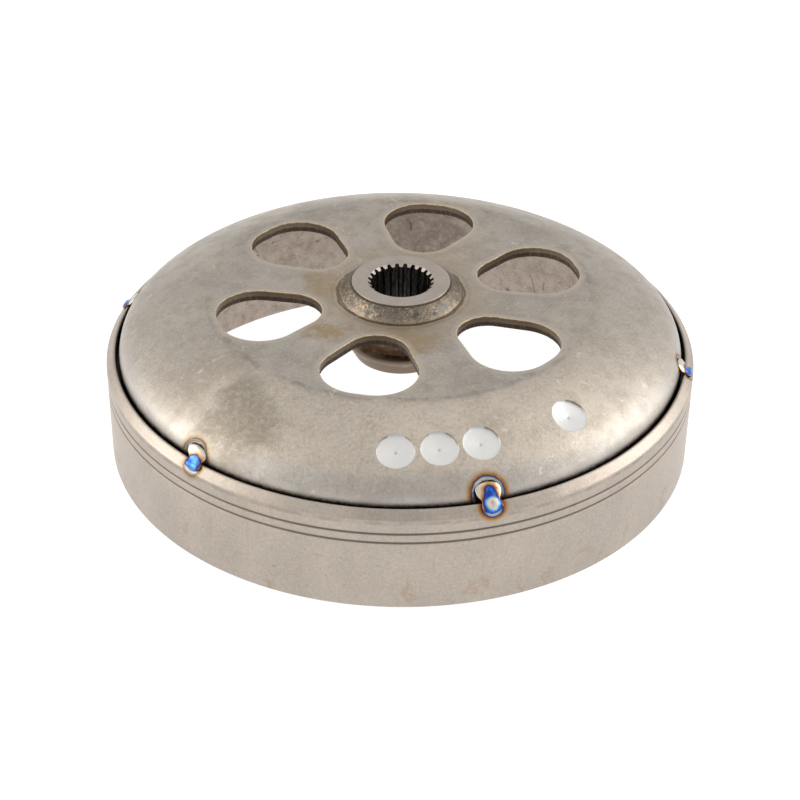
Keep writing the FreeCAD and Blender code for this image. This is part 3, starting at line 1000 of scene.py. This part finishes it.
def cup_steel():
    """Tumbled drawn steel: warm grey, speckled, with brown clouds, scratches and heat tint; painted light on
    the crown and round the windows, painted shade at the plate's bend and a painted shadow in the gap.
    """
    n = Nodes("cup_steel")
    p = n.position()
    radius = n.from_axis()
    clouds = n.noise(p, 26, 4, 0.6)
    mottle = n.noise(p, 5.5, 4, 0.62)
    speckle = n.noise(p, 0.75, 3, 0.7)
    grain = n.noise(p, 0.28, 2, 0.6)
    base = n.ramp(clouds, [
        (0.30, (0.37, 0.34, 0.305)), (0.52, (0.44, 0.40, 0.355)), (0.75, (0.49, 0.435, 0.37))])
    base = n.mix(n.span(mottle, 0.42, 0.66, 0.0, 0.42), base, (0.29, 0.25, 0.205))
    base = n.mix(n.span(speckle, 0.50, 0.72, 0.0, 0.5), base, (0.56, 0.52, 0.47))
    base = n.mix(n.span(speckle, 0.48, 0.30, 0.0, 0.45), base, (0.24, 0.22, 0.20))
    zone = n.drift(radius, clouds, 2.0)
    # Painted light: a lighter band over the crown, strongest towards the front, broken into flakes.
    front_crown_light = n.math("MULTIPLY", n.span(zone, 54.5, 56.5), n.span(zone, 77.0, 74.0))
    front_crown_light = n.math("MULTIPLY", front_crown_light, n.span(n.from_axis(5, -72), 30, 85, 1.0, 0.15))
    light_flake_mask = n.span(n.noise(n.position((1, 1, 0.6)), 0.9, 4, 0.8), 0.36, 0.68, 0.10, 0.75)
    base = n.mix(n.math("MULTIPLY", front_crown_light, light_flake_mask), base, (0.58, 0.505, 0.415))
    lower = n.span(zone, 75.5, 77.5, 0.0, 0.35)
    base = n.mix(lower, base, (0.40, 0.385, 0.37))
    # Darker patches on the front-left of the crown.
    base = stain(n, base, -42, -57, 17, 0.80, (0.26, 0.225, 0.175))
    base = stain(n, base, -55, -38, 15, 0.45, (0.29, 0.25, 0.205))
    base = stain(n, base, 23, -62, 8, 0.40, (0.30, 0.26, 0.21))
    base = stain(n, base, -20, -20, 9, 0.80, (0.33, 0.215, 0.10))
    base = stain(n, base, 2, -26, 11, 0.75, (0.33, 0.23, 0.115))
    base = stain(n, base, -21, 4, 9, 0.65, (0.32, 0.225, 0.12))
    base = stain(n, base, 8, 40, 22, 0.30, (0.34, 0.26, 0.165))
    near_hub = n.span(n.drift(radius, n.noise(p, 9, 4), 4.0), 19.0, 33.0, 0.40, 0.0)
    base = n.mix(near_hub, base, (0.37, 0.29, 0.19))
    round_foot = n.drift(radius, n.noise(p, 5, 3), 0.28)
    base = n.mix(n.line(round_foot, 17.9, 0.55, 0.80), base, (0.15, 0.095, 0.05))
    base = n.mix(n.line(round_foot, 19.4, 0.6, 0.22), base, (0.20, 0.14, 0.08))
    # Painted shade: a darker, patchy ring where the flat plate bends into the crown.
    plate_bend_shade = n.line(n.drift(radius, mottle, 0.6), 54.2, 1.3, 0.34)
    patchy_bend_shade = n.math("MULTIPLY", plate_bend_shade, n.span(n.noise(p, 8, 3), 0.48, 0.60))
    base = n.mix(patchy_bend_shade, base, (0.20, 0.165, 0.135))
    rim = n.attribute("window_distance")
    # Painted highlight: a lighter band round each window and a bright cream line on its rounded rim.
    base = n.mix(n.span(rim, 0.9, 2.2, 0.40, 0.0), base, (0.56, 0.50, 0.43))
    base = n.mix(n.span(rim, 0.12, 0.42, 0.85, 0.0), base, (0.72, 0.60, 0.42))
    marks = scratches(n, p, 9, 1, 0.018)
    fine = scratches(n, p, 3.2, 4, 0.03)
    base = n.mix(n.math("MULTIPLY", marks, 0.45), base, (0.70, 0.65, 0.58))
    base = n.mix(n.math("MULTIPLY", fine, 0.30), base, (0.20, 0.18, 0.155))
    base = temper_colours(n, base)
    # Darker brown towards the gap, then near black in it: painted shadow in the gap between the cup and the
    # band.
    gap_darkening = n.drift(n.height(), n.noise(p, 2.0, 3), 0.25)
    base = n.mix(n.span(gap_darkening, 31.6, 29.8, 0.0, 0.35), base, (0.12, 0.085, 0.055))
    base = n.mix(n.span(gap_darkening, 30.5, 29.6, 0.0, 0.93), base, (0.025, 0.02, 0.017))
    rough = n.span(mottle, 0.3, 0.7, 0.40, 0.52, smooth=False)
    rough = n.math("ADD", rough, n.span(speckle, 0.3, 0.7, -0.05, 0.06, smooth=False))
    normal = n.bump(grain, 0.35, 0.05)
    normal = n.bump(speckle, 0.40, 0.10, normal)
    normal = n.bump(n.noise(p, 3.0, 3), 0.25, 0.22, normal)
    normal = n.bump(n.math("ADD", marks, fine), 0.25, 0.05, normal)
    return n.finish(base, rough, normal)


def inner_steel():
    """Inside of the cup: matt pinkish grey with dark scuffs."""
    n = Nodes("cup_inner_steel")
    p = n.position()
    mottle = n.noise(p, 3.5, 5, 0.7)
    grain = n.noise(p, 0.55, 3, 0.7)
    base = n.ramp(mottle, [
        (0.32, (0.33, 0.275, 0.23)), (0.5, (0.46, 0.39, 0.335)), (0.7, (0.56, 0.485, 0.42))])
    base = n.mix(n.span(grain, 0.45, 0.7, 0.0, 0.6), base, (0.68, 0.60, 0.53))
    base = n.mix(n.span(grain, 0.45, 0.3, 0.0, 0.5), base, (0.25, 0.20, 0.16))
    scuffs = scratches(n, p, 12, 2, 0.035)
    base = n.mix(n.math("MULTIPLY", scuffs, 0.7), base, (0.07, 0.06, 0.055))
    # A darker patch on the inner wall at the back.
    base = stain(n, base, 8, 76, 22, 0.55, (0.14, 0.115, 0.09))
    normal = n.bump(grain, 0.5, 0.12)
    return n.finish(base, n.span(grain, 0.3, 0.7, 0.52, 0.66), normal)


def wall_steel():
    """Punched edge: golden burr line with a painted highlight along its top, brown sheared zone, and torn
    dark zone below.
    """
    n = Nodes("punched_wall")
    p = n.position()
    depth = n.drift(n.attribute("wall_depth"), n.noise(p, 1.6, 3), 0.05)
    streaks = n.noise(n.position((1, 1, 0.15)), 0.6, 3)
    # The golden line at the top edge is the burr's colour with a painted highlight on it.
    base = n.ramp(depth, [
        (0.00, (0.62, 0.50, 0.34)), (0.07, (0.32, 0.25, 0.165)), (0.12, (0.19, 0.15, 0.11)),
        (0.48, (0.16, 0.125, 0.095)), (0.58, (0.075, 0.055, 0.042)), (1.0, (0.10, 0.075, 0.055))])
    base = n.mix(n.span(streaks, 0.45, 0.7, 0.0, 0.35), base, (0.24, 0.19, 0.14))
    base = n.mix(n.span(n.noise(p, 0.5, 3, 0.7), 0.62, 0.75, 0.0, 0.5), base, (0.42, 0.33, 0.22))
    normal = n.bump(streaks, 0.5, 0.12)
    return n.finish(base, n.span(depth, 0.4, 0.7, 0.45, 0.7), normal)


def spot_steel():
    """Fresh drill cut: bright, with fine rings round its centre and painted highlight patches."""
    n = Nodes("drilled_spot")
    p = n.position()
    radius = n.attribute("spot_radius")
    rings = n.math("SINE", n.math("MULTIPLY", radius, 19.0))
    base = n.mix(n.span(rings, -1, 1, 0.0, 0.14), (0.68, 0.68, 0.672), (0.60, 0.60, 0.595))
    # Painted highlight: lighter patches over the cut.
    base = n.mix(n.span(n.noise(p, 2.5, 3), 0.45, 0.7, 0.0, 0.15), base, (0.78, 0.765, 0.735))
    base = n.mix(n.span(radius, 0.25, 0.55, 0.6, 0.0), base, (0.30, 0.30, 0.30))
    normal = n.bump(rings, 0.12, 0.015)
    return n.finish(base, 0.5, normal)


def band_steel():
    """Turned band: pale warm grey, with faint turning lines, stains and heat tint, darker grooves and a
    painted shadow in the gap round the cup.
    """
    n = Nodes("band_steel")
    p = n.position()
    height = n.height()
    clouds = n.noise(n.position((1, 1, 0.6)), 16, 4, 0.6)
    speckle = n.noise(p, 0.7, 3, 0.7)
    turning = n.noise(n.position((0.02, 0.02, 1)), 0.22, 2, 0.6)
    base = n.ramp(clouds, [
        (0.3, (0.37, 0.325, 0.283)), (0.55, (0.42, 0.368, 0.32)), (0.75, (0.46, 0.40, 0.345))])
    base = n.mix(n.span(speckle, 0.5, 0.72, 0.0, 0.4), base, (0.56, 0.50, 0.44))
    base = n.mix(n.span(speckle, 0.46, 0.3, 0.0, 0.4), base, (0.26, 0.225, 0.19))
    streak = n.noise(n.position((1, 1, 0.12)), 2.2, 3)
    base = n.mix(n.span(streak, 0.60, 0.78, 0.0, 0.35), base, (0.34, 0.26, 0.18))
    rust = n.math("MULTIPLY", n.span(height, 13.0, 3.0), n.span(n.noise(p, 7, 4, 0.65), 0.54, 0.70, 0.0, 0.5))
    base = n.mix(rust, base, (0.30, 0.20, 0.11))
    marks = scratches(n, p, 7, 3, 0.02)
    base = n.mix(n.math("MULTIPLY", marks, 0.4), base, (0.24, 0.21, 0.18))
    # A patchy darker brown band just under the edge of the top slope.
    scuffs = n.span(n.noise(p, 5, 4), 0.40, 0.60, 0.25, 1.0)
    under_edge_darkening = n.math("MULTIPLY", n.line(height, 27.4, 0.9, 0.45), scuffs)
    base = n.mix(under_edge_darkening, base, (0.22, 0.18, 0.145))
    rough = n.span(clouds, 0.3, 0.7, 0.40, 0.50, smooth=False)
    # Each groove is darker brown and rougher.
    for groove in GROOVES:
        groove_darkening = n.line(height, groove, 0.55, 0.65)
        base = n.mix(groove_darkening, base, (0.14, 0.11, 0.085))
        rough = n.math("MAXIMUM", rough, n.math("MULTIPLY", groove_darkening, 1.3))
    base = temper_colours(n, base)
    # Painted shadow: near black on the relieved mouth's wall, in the gap round the cup.
    base = n.mix(n.span(n.from_axis(), 81.0, 80.8, 0.0, 0.93), base, (0.025, 0.02, 0.017))
    normal = n.bump(turning, 0.10, 0.03)
    normal = n.bump(speckle, 0.30, 0.08, normal)
    return n.finish(base, rough, normal)


def hub_steel():
    """Machined hub face: even warm grey with faint turning rings, and a braze-coloured neck painted dark for
    the shade under the plate.
    """
    n = Nodes("hub_steel")
    p = n.position()
    speckle = n.noise(p, 0.6, 3, 0.7)
    rings = n.noise(n.from_axis(), 0.16, 2)
    base = n.ramp(n.noise(p, 6, 3), [(0.3, (0.39, 0.345, 0.303)), (0.7, (0.46, 0.405, 0.358))])
    base = n.mix(n.span(speckle, 0.5, 0.72, 0.0, 0.35), base, (0.56, 0.505, 0.45))
    base = n.mix(n.span(speckle, 0.46, 0.3, 0.0, 0.35), base, (0.27, 0.24, 0.21))
    brown = n.drift(n.height(), n.noise(p, 3, 3), 0.6)
    # On the neck under the plate: braze colour with golden glitter, painted dark for the shade that falls
    # there.
    neck = n.math("MULTIPLY", n.span(brown, 32.0, 32.9), n.span(brown, 42.0, 41.0))
    golden = n.span(n.noise(p, 0.7, 3, 0.75), 0.52, 0.68, 0.0, 0.6)
    braze_film_in_shade = n.mix(golden, (0.12, 0.075, 0.04), (0.42, 0.28, 0.14))
    base = n.mix(n.math("MULTIPLY", neck, 0.92), base, braze_film_in_shade)
    base = n.mix(n.span(brown, 33.0, 31.6, 0.0, 0.7), base, (0.27, 0.215, 0.165))
    base = n.mix(n.span(brown, 30.9, 29.8, 0.0, 0.8), base, (0.18, 0.13, 0.09))
    normal = n.bump(rings, 0.12, 0.02)
    normal = n.bump(speckle, 0.25, 0.06, normal)
    return n.finish(base, n.span(speckle, 0.3, 0.7, 0.38, 0.48), normal)


def spline_steel():
    """Dark spline flanks."""
    n = Nodes("spline_steel")
    p = n.position((1, 1, 0.25))
    streak = n.noise(p, 0.5, 3)
    base = n.ramp(streak, [(0.35, (0.045, 0.042, 0.040)), (0.65, (0.14, 0.13, 0.118))])
    return n.finish(base, n.span(streak, 0.3, 0.7, 0.35, 0.5), n.bump(streak, 0.3, 0.06))


def braze_metal():
    """Oxidised braze: grey-brown film with patches of golden glitter, a dark outline and painted shadow under
    the hub's edge.
    """
    n = Nodes("braze")
    p = n.position()
    blotch = n.noise(p, 3.2, 4, 0.65)
    glitter = n.noise(p, 0.60, 3, 0.75)
    share = n.attribute("foot")
    base = n.ramp(blotch, [
        (0.34, (0.09, 0.095, 0.095)), (0.47, (0.16, 0.135, 0.11)), (0.62, (0.20, 0.16, 0.12)),
        (0.75, (0.20, 0.175, 0.155))])
    patches = n.span(n.noise(p, 7.0, 2), 0.42, 0.58, 0.15, 0.75)
    base = n.mix(n.math("MULTIPLY", patches, n.span(glitter, 0.52, 0.68)), base, (0.74, 0.56, 0.34))
    base = n.mix(n.span(glitter, 0.46, 0.32, 0.0, 0.55), base, (0.085, 0.075, 0.065))
    # Painted shadow: dark brown just under the hub's edge.
    base = n.mix(n.span(share, 0.12, 0.30, 0.75, 0.0), base, (0.075, 0.05, 0.03))
    base = n.mix(n.span(share, 0.72, 0.92, 0.0, 0.4), base, (0.30, 0.25, 0.20))
    base = n.mix(n.span(share, 0.93, 0.99, 0.0, 0.9), base, (0.10, 0.065, 0.035))
    normal = n.bump(glitter, 0.5, 0.12)
    normal = n.bump(blotch, 0.3, 0.25, normal)
    return n.finish(base, n.span(glitter, 0.3, 0.7, 0.36, 0.52), normal)


def weld_metal():
    """Fused bead: cream silver tongue with a blue drop that pales to its middle."""
    n = Nodes("weld_metal")
    p = n.position()
    distance = n.drift(n.attribute("drop_distance"), n.noise(p, 1.8, 2), 0.15)
    base = n.ramp(n.span(distance, -3.0, 2.0, smooth=False), [
        (0.02, (0.34, 0.32, 0.42)), (0.15, (0.56, 0.44, 0.44)), (0.25, (0.74, 0.63, 0.52)),
        (0.36, (0.50, 0.62, 0.62)), (0.44, (0.12, 0.34, 0.60)), (0.52, (0.02, 0.07, 0.42)),
        (0.575, (0.06, 0.02, 0.10)), (0.62, (0.32, 0.13, 0.04)), (0.72, (0.56, 0.36, 0.17)),
        (0.84, (0.68, 0.60, 0.49)), (1.0, (0.62, 0.58, 0.53))])
    normal = n.bump(n.noise(p, 0.9, 2), 0.15, 0.05)
    return n.finish(base, 0.36, normal)


def floor_material():
    """Lit white table top, so the view through the windows is white as well."""
    n = Nodes("studio_floor")
    n.shader.inputs["Base Color"].default_value = (0.25, 0.25, 0.25, 1)
    n.shader.inputs["Roughness"].default_value = 0.9
    n.shader.inputs["Emission Color"].default_value = (1, 1, 1, 1)
    n.shader.inputs["Emission Strength"].default_value = 0.95
    return n.material


# ---------------------------------------------------------------- build
cup_skin = build_cup(cup_steel(), wall_steel(), spot_steel(), inner_steel())
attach(cup_skin, "root")
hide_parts("bell_cup")

band_skin = build_band(band_steel())
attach(band_skin, "root")
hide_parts("drum_band")

hub_skin = build_hub(hub_steel(), spline_steel())
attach(hub_skin, "root")
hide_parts("splined_hub")

braze = braze_metal()
top_ring = build_braze("hub_braze_top_skin", braze,
                       [(HUB_BOSS - 0.3, 45.3), (BRAZE_TOP_RADIUS - 0.1, 45.35), (BRAZE_TOP_RADIUS, 45.55),
                        (17.2, 46.1), (16.3, 47.2), (15.2, 48.3), (14.3, 48.95), (13.85, 49.1),
                        (HUB_BOSS - 0.3, 49.05)], 31, 0.09)
bottom_ring = build_braze("hub_braze_bottom_skin", braze,
                          [(HUB_FLANGE - 0.4, 42.5), (HUB_FLANGE - 0.4, 40.5), (17.1, 40.4), (18.1, 41.0),
                           (19.0, 41.8), (BRAZE_BOTTOM_RADIUS, 42.25), (19.4, 42.5)], 41, 0.09)
for piece, node in ((top_ring, "hub_braze_top"), (bottom_ring, "hub_braze_bottom")):
    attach(piece, "root")
    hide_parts(node)

fused = weld_metal()
for number, (azimuth, size, lean) in enumerate(WELDS, start=1):
    bead = build_weld(number, azimuth, size, lean, fused)
    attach(bead, "root")
    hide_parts(f"rim_weld_{number}")

# ---------------------------------------------------------------- studio
mesh = bpy.data.meshes.new("studio_floor")
reach = 6.0
corners = [(-reach, -reach, 0), (reach, -reach, 0), (reach, reach, 0), (-reach, reach, 0)]
mesh.from_pydata(corners, [], [(0, 1, 2, 3)])
mesh.materials.append(floor_material())
floor = bpy.data.objects.new("studio_floor", mesh)
bpy.context.scene.collection.objects.link(floor)


def area_light(name, location, target, size, power, colour):
    """Rectangular lamp that faces target; lengths are in metres."""
    data = bpy.data.lights.new(name, "AREA")
    data.shape = "RECTANGLE"
    data.size, data.size_y = size
    data.energy = power
    data.color = colour
    light = bpy.data.objects.new(name, data)
    light.location = location
    direction = Vector(target) - Vector(location)
    light.rotation_euler = direction.to_track_quat("-Z", "Y").to_euler()
    bpy.context.scene.collection.objects.link(light)


area_light("left_softbox", (-1.05, 0.0, 0.54), (0, 0, 0.03), (0.75, 0.95), 6.9, (1.0, 0.97, 0.92))
area_light("right_softbox", (1.05, 0.15, 0.56), (0, 0, 0.03), (0.75, 0.95), 7.2, (1.0, 0.98, 0.95))
area_light("top_softbox", (0.2, 0.15, 1.3), (0, 0, 0.03), (0.5, 0.5), 0.6, (1.0, 0.98, 0.96))

area_light("left_strip", (-0.85, -0.25, 0.15), (0, 0, 0.01), (0.6, 0.22), 0.9, (1.0, 0.97, 0.92))
area_light("right_strip", (0.85, -0.25, 0.15), (0, 0, 0.01), (0.6, 0.22), 0.9, (1.0, 0.98, 0.97))

world = bpy.data.worlds.new("studio_world")
world.use_nodes = True
world.node_tree.nodes["Background"].inputs["Color"].default_value = (1.0, 0.99, 0.975, 1)
world.node_tree.nodes["Background"].inputs["Strength"].default_value = 0.82
bpy.context.scene.world = world
bpy.context.scene.view_settings.view_transform = "Standard"

# ---------------------------------------------------------------- camera
CAMERA_DISTANCE = 0.58659
CAMERA_ELEVATION = math.radians(33.916)
CAMERA_ROLL = math.radians(0.650)
CAMERA_TARGET = Vector((0.00011, 0, 0.00895 + SKIRT_REACH * MM))
CAMERA_LENS = 90.50

camera_data = bpy.data.cameras.new("camera")
camera_data.lens = CAMERA_LENS
camera_data.sensor_width = 36
camera_data.clip_start = 0.01
camera = bpy.data.objects.new("camera", camera_data)
back = Vector((0, -math.cos(CAMERA_ELEVATION), math.sin(CAMERA_ELEVATION)))
level_right = Vector((1, 0, 0))
level_up = back.cross(level_right)
right = level_right * math.cos(CAMERA_ROLL) + level_up * math.sin(CAMERA_ROLL)
up = level_up * math.cos(CAMERA_ROLL) - level_right * math.sin(CAMERA_ROLL)
place = CAMERA_TARGET + back * CAMERA_DISTANCE
camera.matrix_world = Matrix(((right.x, up.x, back.x, place.x), (right.y, up.y, back.y, place.y),
                              (right.z, up.z, back.z, place.z), (0, 0, 0, 1)))
bpy.context.scene.collection.objects.link(camera)
bpy.context.scene.camera = camera
